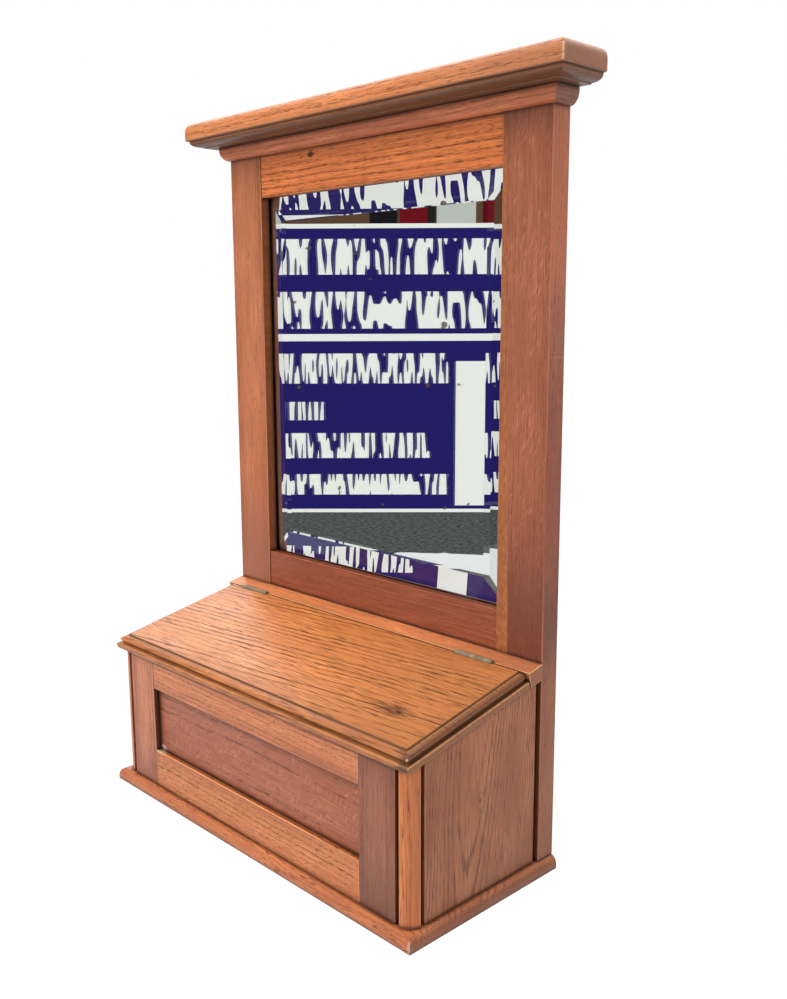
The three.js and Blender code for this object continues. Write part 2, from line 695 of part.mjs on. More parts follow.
// A corner post: a quarter round between two sunk quirks, on a square core.
function cornerPost(side) {
  const round = quarter(boxHalf - POST_ROUND, boxFace + POST_ROUND, POST_ROUND, POST_ROUND, -1, 0, 8);
  const outline = [
    [postInner, postBack],
    [postInner, boxFace + QUIRK_DEPTH],
    [boxHalf - POST_ROUND, boxFace + QUIRK_DEPTH],
    ...round,
    [boxHalf - QUIRK_DEPTH, boxFace + POST_ROUND],
    [boxHalf - QUIRK_DEPTH, postBack],
  ].map(([x, y]) => [side * x, y]);
  return cut(upright(outline, frameFoot, trimHeight), aboveBox(),
    baseScrewHoles((fixing) => fixing.target === 'post' && fixing.side === side));
}

function boxSide(side) {
  const outer = side * boxHalf;
  const inner = side * (boxHalf - SIDE_THICKNESS);
  const rear = frameFace - GLUE_GAP;
  const board = block([inner, outer], [postBack + GLUE_GAP, rear], [frameFoot, trimHeight]);
  const quirk = block([side * (boxHalf - QUIRK_DEPTH), side * (boxHalf + THROUGH)],
    [rear - QUIRK_WIDTH, rear + THROUGH], [0, 2 * trimHeight]);
  return cut(board, quirk, aboveBox());
}

// The framed front: two stiles, two rails with stub tenons, and a panel loose in their grooves.
const panelRoom = [panelFace - HOLE_CLEARANCE, panelBack + HOLE_CLEARANCE];
const grooveHeights = [frontOpeningFoot - PANEL_GROOVE, frontOpeningTop + PANEL_GROOVE];
const frontDepths = [boxFace, boxFace + FRONT_THICKNESS];

function frontStile(side) {
  const inner = side * frontOpeningHalf;
  const board = block([inner, side * (postInner - GLUE_GAP)], frontDepths, [frameFoot, trimHeight]);
  const open = side * (frontOpeningHalf - THROUGH);
  const groove = block([open, side * (frontOpeningHalf + PANEL_GROOVE)], panelRoom, grooveHeights);
  const across = [open, side * (frontOpeningHalf + STUB_TENON + HOLE_CLEARANCE)];
  const lower = block(across, panelRoom, [0, grooveHeights[0] + HOLE_CLEARANCE]);
  const upper = block(across, panelRoom, [grooveHeights[1] - HOLE_CLEARANCE, 2 * trimHeight]);
  return cut(board, groove, lower, upper, aboveBox());
}

function frontRail(foot, head, tenon) {
  const half = frontOpeningHalf - GLUE_GAP;
  const reach = frontOpeningHalf + STUB_TENON;
  const board = join(block([-half, half], frontDepths, [foot, head]),
    block([-reach, reach], [panelFace, panelBack], tenon));
  const groove = block([-half - THROUGH, half + THROUGH], panelRoom, grooveHeights);
  return cut(board, groove, aboveBox(), baseScrewHoles((fixing) => fixing.target === 'front'));
}

for (const { side, name } of mirrored) {
  add(`corner_post_${name}`, cornerPost(side), OAK_BRIGHT);
  add(`box_side_${name}`, boxSide(side), OAK_BROWN);
  add(`box_front_stile_${name}`, frontStile(side), OAK_BROWN);
}

add('box_front_bottom_rail',
  frontRail(frameFoot, frontOpeningFoot, [frameFoot, grooveHeights[0]]), OAK_BRIGHT);
add('box_front_top_rail',
  frontRail(frontOpeningTop, trimHeight, [grooveHeights[1], trimHeight]), OAK_BROWN);

const panelHalf = frontOpeningHalf + PANEL_GROOVE - PANEL_PLAY;
add('box_front_panel',
  block([-panelHalf, panelHalf], [panelFace, panelBack], widened(grooveHeights, -PANEL_PLAY)), OAK_DARK);

// ---------------------------------------------------------------- hinges

const hinges = [
  { name: 'left', x: -lidHalf + HINGE_LEFT_INSET + HINGE_LENGTH / 2 },
  { name: 'right', x: lidHalf - HINGE_RIGHT_INSET - HINGE_LENGTH / 2 },
];
const knuckleLength = HINGE_LENGTH / HINGE_KNUCKLES;
const barrelRoom = KNUCKLE_RADIUS + SEAT;

// The two leaves lie in the edges of lid and rail; toward is -1 for the lid's and 1 for the rail's.
function leafFaces(toward) {
  const face = toward * LID_JOINT / 2;
  return [face, face + toward * LEAF_THICKNESS];
}

function hingeLeaf(x, toward) {
  const start = x - HINGE_LENGTH / 2;
  const alongBarrel = (from) => new THREE.Vector3(from, 0, 0);
  let leaf = block([start, start + HINGE_LENGTH], leafFaces(toward), [-LEAF_HEIGHT, 0]);
  const foreign = [];
  for (let i = 0; i < HINGE_KNUCKLES; i++) {
    const from = start + i * knuckleLength;
    const own = (i % 2 === 0) === (toward > 0);
    if (own) {
      leaf = join(leaf, rod(KNUCKLE_RADIUS, knuckleLength - SEAT, alongBarrel(from + SEAT / 2), ALONG_X));
    } else {
      foreign.push(block([from - SEAT / 2, from + knuckleLength + SEAT / 2],
        [-2 * barrelRoom, 2 * barrelRoom], [-barrelRoom, 2 * barrelRoom]));
    }
  }
  const bore = rod(
    HINGE_PIN_RADIUS + HOLE_CLEARANCE, HINGE_LENGTH + 2 * THROUGH, alongBarrel(start - THROUGH), ALONG_X);
  return cut(leaf, foreign, bore, hingeScrewHoles(x, toward));
}

function hingeScrews(x, toward) {
  const height = -(LEAF_HEIGHT + barrelRoom) / 2;
  return [['a', -1], ['b', 1]].map(([letter, sign]) => ({
    letter,
    at: new THREE.Vector3(x + sign * HINGE_SCREW_SPACING / 2, toward * LID_JOINT / 2, height),
    direction: new THREE.Vector3(0, toward, 0),
  }));
}

function hingeScrewHoles(x, toward) {
  return hingeScrews(x, toward).map(({ at, direction }) => screwHole(HINGE_SCREW, at, direction));
}

// What a hinge needs cut out of a wooden edge: room for the barrel, a bed for the leaf, and screw holes.
function hingeBed(x, toward) {
  const start = x - HINGE_LENGTH / 2 - SEAT;
  const end = x + HINGE_LENGTH / 2 + SEAT;
  const bedDepth = LID_JOINT / 2 + LEAF_THICKNESS + GLUE_GAP;
  const barrel = block([start, end], [0, toward * barrelRoom], [-barrelRoom, barrelRoom]);
  const bed = block([start, end], [0, toward * bedDepth], [-LEAF_HEIGHT - SEAT, barrelRoom]);
  return [barrel, bed, ...hingeScrewHoles(x, toward)];
}

for (const { name, x } of hinges) {
  for (const [owner, toward] of [['rail', 1], ['lid', -1]]) {
    add(`hinge_${name}_${owner}_leaf`, hingeLeaf(x, toward), BRASS, slope);
    for (const { letter, at, direction } of hingeScrews(x, toward)) {
      const fastener = screw(HINGE_SCREW, at, direction, ALONG_X);
      add(`hinge_${name}_${owner}_screw_${letter}`, fastener, BRASS, slope);
    }
  }
  const pinEnd = new THREE.Vector3(x - HINGE_LENGTH / 2, 0, 0);
  add(`hinge_${name}_pin`, rod(HINGE_PIN_RADIUS, HINGE_LENGTH, pinEnd, ALONG_X), BRASS, slope);
}

// The fixed rail behind the lid follows the lid's slope and is glued to the frame's face.
function hingeRail() {
  const rise = Math.tan(LID_SLOPE);
  const corner = (y, z) => {
    const point = new THREE.Vector3(0, y, z).applyMatrix4(slope.matrix);
    return [point.y, point.z];
  };
  const [frontTopY, frontTopZ] = corner(LID_JOINT / 2, 0);
  const [frontFootY, frontFootZ] = corner(LID_JOINT / 2, -LID_THICKNESS);
  const back = frameFace - GLUE_GAP;
  const outline = [
    [frontFootY, frontFootZ],
    [back, frontFootZ + (back - frontFootY) * rise],
    [back, frontTopZ + (back - frontTopY) * rise],
    [frontTopY, frontTopZ],
  ];
  const beds = hinges.flatMap(({ x }) => hingeBed(x, 1)).map(onSlope);
  return cut(lengthwise(outline, -lidHalf, lidHalf), beds);
}

add('hinge_rail', hingeRail(), OAK_BRIGHT);

// ---------------------------------------------------------------- lid

// Flat field, a sunk step round it, an ovolo down to the nose, a groove, and a lip standing out under it.
function lidBoard() {
  const nose = -LID_NOSE_SET_BACK;
  const noseUnder = LID_GROOVE_DEPTH / 3;
  const grooveTop = -LID_NOSE_DROP - noseUnder;
  const lipTop = -LID_LIP_DROP + LID_LIP_EASE;
  const ovoloHeight = LID_NOSE_DROP - LID_STEP - DRAFT;
  const profile = [
    [-LID_CHAMFER, -LID_THICKNESS],
    [0, -LID_THICKNESS + LID_CHAMFER],
    [0, -LID_LIP_DROP],
    [-LID_LIP_EASE, lipTop],
    [nose - LID_GROOVE_DEPTH, lipTop + DRAFT],
    [nose - LID_GROOVE_DEPTH + DRAFT, grooveTop],
    [nose - noseUnder, grooveTop + DRAFT],
    ...quarter(nose - LID_OVOLO_WIDTH, -LID_NOSE_DROP, LID_OVOLO_WIDTH, ovoloHeight, 0, 1, 7),
    [-LID_MOULD, -LID_STEP],
    [-LID_MOULD - DRAFT, 0],
  ];
  const board = mouldedBoard(lidHalf, -LID_JOINT / 2, -lidLength, profile);
  return cut(board, hinges.flatMap(({ x }) => hingeBed(x, -1)));
}

add('lid', lidBoard(), OAK_BRIGHT, slope);

export default mirror;
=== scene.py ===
"""Finish of an oak hall mirror with a glove box: stained and waxed oak, bevelled glass and dull brass.

Lengths are in metres, in the part's own frame: +Z up, the front faces -Y. Places inside a material are
in millimetres, because a material's coordinates are scaled by PER_MM.
"""

import math

import bpy
from mathutils import Euler, Matrix, Vector


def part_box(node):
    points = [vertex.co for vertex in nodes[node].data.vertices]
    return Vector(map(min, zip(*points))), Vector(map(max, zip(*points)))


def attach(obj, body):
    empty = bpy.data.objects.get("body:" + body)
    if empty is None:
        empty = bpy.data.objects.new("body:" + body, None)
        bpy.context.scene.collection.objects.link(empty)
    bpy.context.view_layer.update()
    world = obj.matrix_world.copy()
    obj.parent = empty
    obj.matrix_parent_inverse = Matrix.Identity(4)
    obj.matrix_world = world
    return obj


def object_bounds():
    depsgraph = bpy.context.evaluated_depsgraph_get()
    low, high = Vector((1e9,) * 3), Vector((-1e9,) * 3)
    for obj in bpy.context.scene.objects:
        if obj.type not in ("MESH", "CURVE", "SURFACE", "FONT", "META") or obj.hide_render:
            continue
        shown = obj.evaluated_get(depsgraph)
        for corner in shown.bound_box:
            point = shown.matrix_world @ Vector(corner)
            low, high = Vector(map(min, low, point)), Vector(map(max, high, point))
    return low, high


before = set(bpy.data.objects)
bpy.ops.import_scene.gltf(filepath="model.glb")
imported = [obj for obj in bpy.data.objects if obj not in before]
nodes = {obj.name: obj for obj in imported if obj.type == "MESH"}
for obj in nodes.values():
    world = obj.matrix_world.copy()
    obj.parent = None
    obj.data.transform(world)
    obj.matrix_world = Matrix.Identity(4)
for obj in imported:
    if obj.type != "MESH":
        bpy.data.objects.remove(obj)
cad_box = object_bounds()

MM = 0.001
PER_MM = 1000.0

# ---------------------------------------------------------------- camera

IMAGE_HEIGHT = 999
FOCAL_PIXELS = 1041.2
SENSOR = 36.0
CAMERA_PLACE = (0.6865, -0.5665, 0.4558)
CAMERA_YAW = math.radians(45.96)
CAMERA_PITCH = math.radians(10.09)
CAMERA_ROLL = math.radians(-0.20)


def make_camera():
    data = bpy.data.cameras.new("camera")
    data.sensor_width = SENSOR
    data.lens = FOCAL_PIXELS / IMAGE_HEIGHT * SENSOR
    camera = bpy.data.objects.new("camera", data)
    bpy.context.scene.collection.objects.link(camera)
    turn = Euler((math.pi / 2 - CAMERA_PITCH, 0, CAMERA_YAW)).to_matrix().to_4x4()
    roll = Matrix.Rotation(CAMERA_ROLL, 4, "Z")
    camera.matrix_world = Matrix.Translation(CAMERA_PLACE) @ turn @ roll
    bpy.context.scene.camera = camera


# ---------------------------------------------------------------- node graphs


class Graph:
    """The node tree of one material. Its methods add nodes and return their output sockets."""

    def __init__(self, name):
        self.material = bpy.data.materials.new(name)
        self.material.use_nodes = True
        self.tree = self.material.node_tree
        self.tree.nodes.clear()

    @classmethod
    def of_tree(cls, tree):
        """A graph in a tree that there is already, such as the world's."""
        made = cls.__new__(cls)
        made.tree = tree
        tree.nodes.clear()
        return made

    def node(self, kind, inputs=None, **settings):
        made = self.tree.nodes.new("ShaderNode" + kind)
        for key, value in settings.items():
            setattr(made, key, value)
        for key, value in (inputs or {}).items():
            self.feed(made.inputs[key], value)
        return made

    def feed(self, socket, value):
        if isinstance(value, bpy.types.NodeSocket):
            self.tree.links.new(value, socket)
        else:
            socket.default_value = value

    def math(self, operation, *values, clamp=False):
        made = self.node("Math", operation=operation, use_clamp=clamp)
        for socket, value in zip(made.inputs, values):
            self.feed(socket, value)
        return made.outputs[0]

    def add(self, a, b):
        return self.math("ADD", a, b)

    def times(self, a, b):
        return self.math("MULTIPLY", a, b)

    def ease(self, value, low, high, start=0.0, end=1.0):
        """value's place between low and high, eased, as a number from start to end."""
        made = self.node(
            "MapRange",
            {"Value": value, "From Min": low, "From Max": high, "To Min": start, "To Max": end},
            interpolation_type="SMOOTHSTEP",
        )
        return made.outputs["Result"]

    def vector(self, x, y, z):
        return self.node("CombineXYZ", {"X": x, "Y": y, "Z": z}).outputs[0]

    def noise(self, place, detail=2.0, roughness=0.5):
        made = self.node(
            "TexNoise", {"Vector": place, "Scale": 1.0, "Detail": detail, "Roughness": roughness})
        return made.outputs["Fac"]

    def mix(self, share, a, b, blend="MIX"):
        made = self.node("Mix", data_type="RGBA", blend_type=blend)
        self.feed(made.inputs[0], share)
        self.feed(made.inputs[6], a if isinstance(a, bpy.types.NodeSocket) else (*a, 1))
        self.feed(made.inputs[7], b if isinstance(b, bpy.types.NodeSocket) else (*b, 1))
        return made.outputs[2]

    def place_mm(self):
        """The place on the object as separate X, Y and Z sockets, in millimetres."""
        coordinates = self.node("TexCoord").outputs["Object"]
        scaled = self.node("VectorMath", {0: coordinates, 1: (PER_MM,) * 3}, operation="MULTIPLY").outputs[0]
        parts = self.node("SeparateXYZ", {0: scaled})
        return parts.outputs[0], parts.outputs[1], parts.outputs[2]

    def finish(self, shader):
        output = self.node("OutputMaterial")
        self.tree.links.new(shader, output.inputs["Surface"])
        return self.material


# ---------------------------------------------------------------- oak

PORE = (0.055, 0.016, 0.007)       # dirt and stain in the open grain
# Near-black of dirt and painted shade, for corners, quirks and reveals
GRIME_AND_SHADE = (0.020, 0.008, 0.004)
OCCLUSION_REACH = 4 * MM
# Pale bare wood, and also the colour of the painted highlight on the lid's nose
PALE_WEAR_AND_HIGHLIGHT = (0.80, 0.60, 0.45)
BARE_RAIL = (0.75, 0.60, 0.42)     # where the finish is off the box front's rail
BARE_PANEL = (0.85, 0.70, 0.50)    # and off its panel
END_TONE = (0.42, 0.46, 0.58)      # end grain takes more stain and less orange


def tinted(tone, *factors):
    return tuple(min(1.0, c * k) for c, k in zip(tone, factors))


def edge_distance(g, along, across, spans):
    """How far a place is from the nearest edge of its board's face, in millimetres."""
    nearest = None
    for place, (low, high) in zip((along, across), spans):
        for gap in (g.add(place, -low), g.math("SUBTRACT", high, place)):
            nearest = gap if nearest is None else g.math("MINIMUM", nearest, gap)
    return nearest


def spot_distance(g, a, b, centre, size):
    """1 on the rim of an oval round the centre, and less inside it."""
    across = [g.times(g.add(place, -middle), 1 / half) for place, middle, half in zip((a, b), centre, size)]
    return g.math("SQRT", g.add(*(g.times(part, part) for part in across)))


def oak(name, tone, grain, seed, spans, pith=(60.0, -70.0), lean=(0.0, 0.0), ring=4.2, early_end=0.5,
        band=0.4, pores=0.8, dash=(9.0, 0.55), sway=3.0, cloud=0.35, fleck=0.0, fleck_turn=30.0, gloss=0.40,
        wear=0.6, patina=0.35, rim_width=16.0, open_grain=0.0, under_shade=0.0, grime_and_shade=1.0, knots=(), extra=None):
    """Stained oak of one board.

    tone is its mean colour, and grain names the axes along, across and through the board. The growth
    rings lie round a pith at the given place across and through it, which leans along the board. ring is
    their spacing, dash the length and width of a pore, and rim_width the reach of the darkened edge.
    """
    g = Graph(name)
    x, y, z = g.place_mm()
    axes = {"X": x, "Y": y, "Z": z}
    along, across, through = (axes[axis] for axis in grain)
    start = g.add(along, seed * 131.7)

    bend = g.noise(g.vector(g.times(start, 1 / 170), g.times(across, 1 / 70), seed * 3.1), detail=1)
    across_grain = g.add(across, g.times(g.add(bend, -0.5), sway * 2))

    side_a = g.math("SUBTRACT", across_grain, g.add(g.times(along, lean[0]), pith[0]))
    side_b = g.math("SUBTRACT", through, g.add(g.times(along, lean[1]), pith[1]))
    radius = g.math("SQRT", g.add(g.times(side_a, side_a), g.times(side_b, side_b)))
    cores = []
    for knot_along, knot_across, size in knots:
        reach = spot_distance(g, along, across, (knot_along, knot_across), (size * 2.2, size))
        radius = g.add(radius, g.ease(reach, 0.0, 1.5, size, 0.0))
        cores.append(g.ease(reach, 0.10, 0.42, 1.0, 0.0))
    ripple = g.noise(g.vector(g.times(start, 1 / 130), g.times(across, 1 / 34), g.times(through, 1 / 34)))
    phase = g.add(g.times(radius, 1 / ring), g.times(ripple, 0.7))
    place_in_ring = g.math("FRACT", phase)
    ring_strength = g.node(
        "TexWhiteNoise", {"W": g.add(g.math("FLOOR", phase), seed)}, noise_dimensions="1D").outputs["Value"]
    early = g.times(g.ease(place_in_ring, 0.0, 0.10), g.ease(place_in_ring, 0.14, early_end, 1.0, 0.0))
    early = g.times(early, g.ease(ring_strength, 0.0, 0.8, 0.3, 1.0))

    length, width = dash
    thin = g.vector(g.times(start, 1 / length), g.times(across_grain, 1 / width), g.times(through, 1 / width))
    dashes = g.noise(thin, detail=1.0, roughness=0.55)
    clouds = g.noise(
        g.vector(g.times(start, 1 / 80), g.times(across, 1 / 30), g.times(through, 1 / 30)), detail=3)
    least = g.add(g.ease(early, 0.0, 1.0, 0.63 - open_grain, 0.48 - open_grain),
                  g.ease(clouds, 0.4, 0.65, 0.0, 0.05))
    pore = g.ease(g.math("SUBTRACT", dashes, least), 0.0, 0.06)
    for core in cores:
        pore = g.math("MAXIMUM", pore, core)

    fibre = g.noise(
        g.vector(g.times(start, 1 / 40), g.times(across_grain, 1 / 1.1), g.times(through, 1 / 1.1)), detail=3)

    wood = g.mix(g.ease(fibre, 0.32, 0.68), tinted(tone, 0.82, 0.78, 0.74), tinted(tone, 1.20, 1.24, 1.28))
    wood = g.mix(g.ease(clouds, 0.38, 0.68, 0.0, cloud), wood, tinted(tone, 0.72, 0.64, 0.58))
    wood = g.mix(g.times(early, band), wood, tinted(tone, 0.45, 0.36, 0.30))
    if fleck:
        flecks = g.times(ray_flecks(g, start, across, fleck_turn), fleck)
        wood = g.mix(flecks, wood, tinted(tone, 1.6, 1.8, 2.0))
    if extra:
        wood = extra(g, wood, tone, (x, y, z))
    wood = g.mix(g.times(pore, pores), wood, PORE)

    # End grain is darker and duller than the faces.
    normal = g.node("SeparateXYZ", {0: g.node("TexCoord").outputs["Normal"]}).outputs
    end = g.ease(g.math("ABSOLUTE", normal["XYZ".index(grain[0])]), 0.75, 0.95)
    wood = g.mix(g.times(end, 0.75), wood, tinted(tone, *END_TONE))
    # Faces that look down are painted darker: painted shade.
    if under_shade:
        underside_shade = g.ease(normal[2], -0.75, -0.05, under_shade, 0.0)
        wood = g.mix(underside_shade, wood, tinted(tone, 0.14, 0.19, 0.30))

    # Old polish has darkened towards the board's edges, where it wasn't rubbed.
    rim = g.ease(edge_distance(g, along, across, spans), 0.0, rim_width, 1.0, 0.0)
    wood = g.mix(g.times(g.times(rim, g.ease(clouds, 0.3, 0.6, 0.4, 1.0)), patina), wood,
                 tinted(tone, 0.40, 0.32, 0.28))

    # Handling wears the arrises pale. Dirt and painted shade darken the corners, found by ambient occlusion.
    arris = g.node("Attribute", attribute_name="arris").outputs["Fac"]
    worn = g.times(arris, g.ease(clouds, 0.3, 0.6, 0.2, 1.0))
    wood = g.mix(g.times(worn, wear), wood, tinted(tone, 1.7, 2.1, 2.6))
    occlusion = g.node("AmbientOcclusion", {"Distance": OCCLUSION_REACH}, samples=4).outputs["AO"]
    dirt_and_shade = g.times(g.ease(occlusion, 0.58, 0.97, grime_and_shade, 0.0), g.ease(fibre, 0.2, 0.7, 1.0, 0.8))
    wood = g.mix(dirt_and_shade, wood, GRIME_AND_SHADE)

    relief = g.add(g.times(pore, -1.0), g.times(fibre, 0.3))
    bump = g.node("Bump", {"Strength": 0.3, "Distance": 0.2 * MM, "Height": relief}).outputs[0]
    dull = g.math("MAXIMUM", g.times(pore, 0.22), g.times(dirt_and_shade, 0.3))
    shader = g.node("BsdfPrincipled", {
        "Base Color": wood,
        "Roughness": g.add(dull, g.ease(clouds, 0.3, 0.7, gloss - 0.05, gloss + 0.05)),
        "Normal": bump,
        "Coat Weight": 0.12,
        "Coat Roughness": 0.30,
    })
    return g.finish(shader.outputs[0])


def ray_flecks(g, along, across, turn):
    """Pale ribbons of ray tissue, lying at an angle to the grain."""
    cosine, sine = math.cos(math.radians(turn)), math.sin(math.radians(turn))
    ribbon = g.add(g.times(along, cosine), g.times(across, sine))
    ribbon_side = g.math("SUBTRACT", g.times(across, cosine), g.times(along, sine))
    wander = g.noise(g.vector(g.times(along, 1 / 16), g.times(across, 1 / 16), 4.0))
    bent = g.add(ribbon_side, g.times(wander, 9.0))
    shape = g.noise(g.vector(g.times(ribbon, 1 / 11), g.times(bent, 1 / 1.5), 2.0), detail=0)
    patch = g.noise(g.vector(g.times(along, 1 / 45), g.times(across, 1 / 18), 9.0), detail=1)
    return g.times(g.ease(shape, 0.60, 0.74), g.ease(patch, 0.38, 0.56))


# ---------------------------------------------------------------- other finishes


def brass():
    g = Graph("dull_brass")
    x, y, z = g.place_mm()
    tarnish = g.noise(g.vector(g.times(x, 0.15), g.times(y, 0.15), g.times(z, 0.15)), detail=4)
    colour = g.mix(g.ease(tarnish, 0.35, 0.7), (0.24, 0.195, 0.120), (0.36, 0.305, 0.200))
    shader = g.node("BsdfPrincipled", {
        "Base Color": colour, "Metallic": 0.2, "Roughness": g.ease(tarnish, 0.3, 0.7, 0.55, 0.42)})
    return g.finish(shader.outputs[0])


def steel():
    g = Graph("dull_steel")
    x, y, z = g.place_mm()
    stain = g.noise(g.vector(g.times(x, 0.7), g.times(y, 0.7), g.times(z, 0.7)), detail=4)
    colour = g.mix(g.ease(stain, 0.4, 0.7), (0.10, 0.09, 0.085), (0.17, 0.085, 0.04))
    shader = g.node("BsdfPrincipled", {
        "Base Color": colour, "Metallic": 0.75, "Roughness": g.ease(stain, 0.3, 0.7, 0.45, 0.7)})
    return g.finish(shader.outputs[0])


def glass():
    g = Graph("clear_glass")
    shader = g.node("BsdfPrincipled", {
        "Base Color": (0.975, 0.99, 0.985, 1), "Roughness": 0.0, "IOR": 1.52, "Transmission Weight": 1.0})
    return g.finish(shader.outputs[0])


def silver():
    g = Graph("silvering")
    x, y, z = g.place_mm()
    blemish = g.noise(g.vector(g.times(x, 1 / 6), 0.0, g.times(z, 1 / 6)), detail=6, roughness=0.7)
    colour = g.mix(g.ease(blemish, 0.70, 0.80, 0.0, 0.6), (0.90, 0.91, 0.90), (0.30, 0.28, 0.25))
    shader = g.node("BsdfPrincipled", {"Base Color": colour, "Metallic": 1.0, "Roughness": 0.0})
    return g.finish(shader.outputs[0])


# ---------------------------------------------------------------- modifiers

SHARP_ANGLE = math.radians(28)
MERGE_DISTANCE = 0.01 * MM
SHORTEST_ARRIS = 5 * MM


class Modifier:
    """A geometry node group of one geometry socket in and one out, built in a line."""

    def __init__(self, name):
        self.tree = bpy.data.node_groups.new(name, "GeometryNodeTree")
        for way in ("INPUT", "OUTPUT"):
            self.tree.interface.new_socket("Geometry", in_out=way, socket_type="NodeSocketGeometry")
        self.last = self.tree.nodes.new("NodeGroupInput").outputs[0]

    def node(self, kind, inputs=None, **settings):
        made = self.tree.nodes.new(kind)
        for key, value in settings.items():
            setattr(made, key, value)
        for key, value in (inputs or {}).items():
            if isinstance(value, bpy.types.NodeSocket):
                self.tree.links.new(value, made.inputs[key])
            else:
                made.inputs[key].default_value = value
        return made

    def step(self, kind, inputs=None, **settings):
        made = self.node(kind, inputs, **settings)
        self.tree.links.new(self.last, made.inputs[0])
        self.last = made.outputs[0]
        return made

    def sharper_than(self, angle):
        edge = self.node("GeometryNodeInputMeshEdgeAngle").outputs["Unsigned Angle"]
        return self.node("FunctionNodeCompare", {0: edge, 1: angle}, operation="GREATER_THAN").outputs[0]

    def finish(self):
        self.tree.links.new(self.last, self.tree.nodes.new("NodeGroupOutput").inputs[0])
        return self.tree


def weld_group():
    """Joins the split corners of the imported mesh, and drops its fixed normals."""
    made = Modifier("weld")
    made.step("GeometryNodeRemoveAttribute", {"Name": "custom_normal"})
    made.step("GeometryNodeMergeByDistance", {"Distance": MERGE_DISTANCE})
    return made.finish()


def mark_group(wall):
    """Marks the long sharp edges for the bevel that follows, but not those in the plane of the wall."""
    made = Modifier("mark_arrises")
    ends = made.node("GeometryNodeInputMeshEdgeVertices")
    span = made.node("ShaderNodeVectorMath", {0: ends.outputs["Position 1"], 1: ends.outputs["Position 2"]},
                     operation="DISTANCE").outputs["Value"]
    long = made.node("FunctionNodeCompare", {0: span, 1: SHORTEST_ARRIS}, operation="GREATER_THAN").outputs[0]
    sharp = made.node("FunctionNodeBooleanMath", {0: long, 1: made.sharper_than(SHARP_ANGLE)}).outputs[0]
    depths = [made.node("ShaderNodeSeparateXYZ", {0: ends.outputs[end]}).outputs[1]
              for end in ("Position 1", "Position 2")]
    nearest = made.node("ShaderNodeMath", {0: depths[0], 1: depths[1]}, operation="MINIMUM").outputs[0]
    free = made.node("FunctionNodeCompare", {0: nearest, 1: wall - MERGE_DISTANCE},
                     operation="LESS_THAN").outputs[0]
    marked = made.node("FunctionNodeBooleanMath", {0: sharp, 1: free}).outputs[0]
    made.step("GeometryNodeStoreNamedAttribute", {"Name": "bevel_weight_edge", "Value": marked},
              domain="EDGE")
    return made.finish()


def smooth_group():
    """Keeps the bevel's faces as the attribute arris, and smooths all but the sharp edges."""
    made = Modifier("smooth")
    index = made.node("GeometryNodeInputMaterialIndex").outputs[0]
    made.step("GeometryNodeStoreNamedAttribute", {"Name": "arris", "Value": index}, domain="FACE")
    made.step("GeometryNodeSetMaterialIndex", {"Material Index": 0})
    made.step("GeometryNodeSetShadeSmooth", {"Shade Smooth": True}, domain="FACE")
    sharp = made.sharper_than(SHARP_ANGLE)
    made.step("GeometryNodeSetShadeSmooth", {"Selection": sharp, "Shade Smooth": False}, domain="EDGE")
    return made.finish()


WELD = weld_group()
MARK = mark_group(wall=cad_box[1][1])
SMOOTH = smooth_group()


def ease_arrises(node, width):
    """Rounds a node's long sharp edges by width, and keeps its flat faces flat."""
    node.modifiers.new("weld", "NODES").node_group = WELD
    planar = node.modifiers.new("planar", "DECIMATE")
    planar.decimate_type = "DISSOLVE"
    planar.angle_limit = math.radians(0.5)
    node.modifiers.new("mark", "NODES").node_group = MARK
    bevel = node.modifiers.new("bevel", "BEVEL")
    bevel.limit_method = "WEIGHT"
    bevel.width = width
    bevel.segments = 2
    bevel.use_clamp_overlap = False
    bevel.material = 1
    node.modifiers.new("smooth", "NODES").node_group = SMOOTH
    normal = node.modifiers.new("normal", "WEIGHTED_NORMAL")
    normal.keep_sharp = True


# ---------------------------------------------------------------- boards

FRONT_H = "XZY"
FRONT_V = "ZXY"
FLAT_X = "XYZ"
SIDE_V = "ZYX"
SIDE_H = "YZX"


def arris_highlight(inner, outward, foot_z, foot_width, head_z, head_width):
    """A painted highlight on the eased inner arris of a stile, as a bright mottled orange strip."""
    def paint(g, wood, tone, place):
        x, y, z = place
        width = g.ease(z, foot_z, head_z, foot_width, head_width)
        inside = g.math("SUBTRACT", width, g.times(g.add(x, -inner), outward))
        mottle = g.noise(g.vector(g.times(x, 1 / 3), 0.0, g.times(z, 1 / 7)), detail=3)
        bright = g.mix(g.ease(mottle, 0.35, 0.65), (0.50, 0.17, 0.045), (0.36, 0.11, 0.035))
        return g.mix(g.ease(inside, -0.6, 0.6, 0.0, 0.85), wood, bright)
    return paint


def stain(centre, size, colour, strength, grainy=1.0):
    """A smudge on a level or upright board, at a place across X and one other axis."""
    def paint(g, wood, tone, place):
        reach = spot_distance(g, place[0], place[centre[2]], centre[:2], size)
        streaks = g.noise(
            g.vector(g.times(place[0], 1 / 14), g.times(place[centre[2]], 1 / 1.4), 5.0), detail=2)
        mask = g.ease(g.add(reach, g.times(g.add(streaks, -0.5), 2 * grainy)), 0.6, 1.2, strength, 0.0)
        return g.mix(mask, wood, colour)
    return paint


def line(g, value, low, high, blur=0.35):
    """1 where value lies between low and high, with soft ends."""
    return g.times(g.ease(value, low - blur, low + blur), g.ease(value, high - blur, high + blur, 1.0, 0.0))


def worn_corner(corner_x, corner_y, size):
    """The bare pale wood of an upright front corner that has been knocked."""
    def paint(g, wood, tone, place):
        reach = spot_distance(g, place[0], place[1], (corner_x, corner_y), (size, size))
        bare = g.noise(g.vector(0.0, 0.0, g.times(place[2], 1 / 5)), detail=2)
        return g.mix(g.ease(g.add(reach, bare), 0.9, 1.7, 0.6, 0.0), wood, PALE_WEAR_AND_HIGHLIGHT)
    return paint


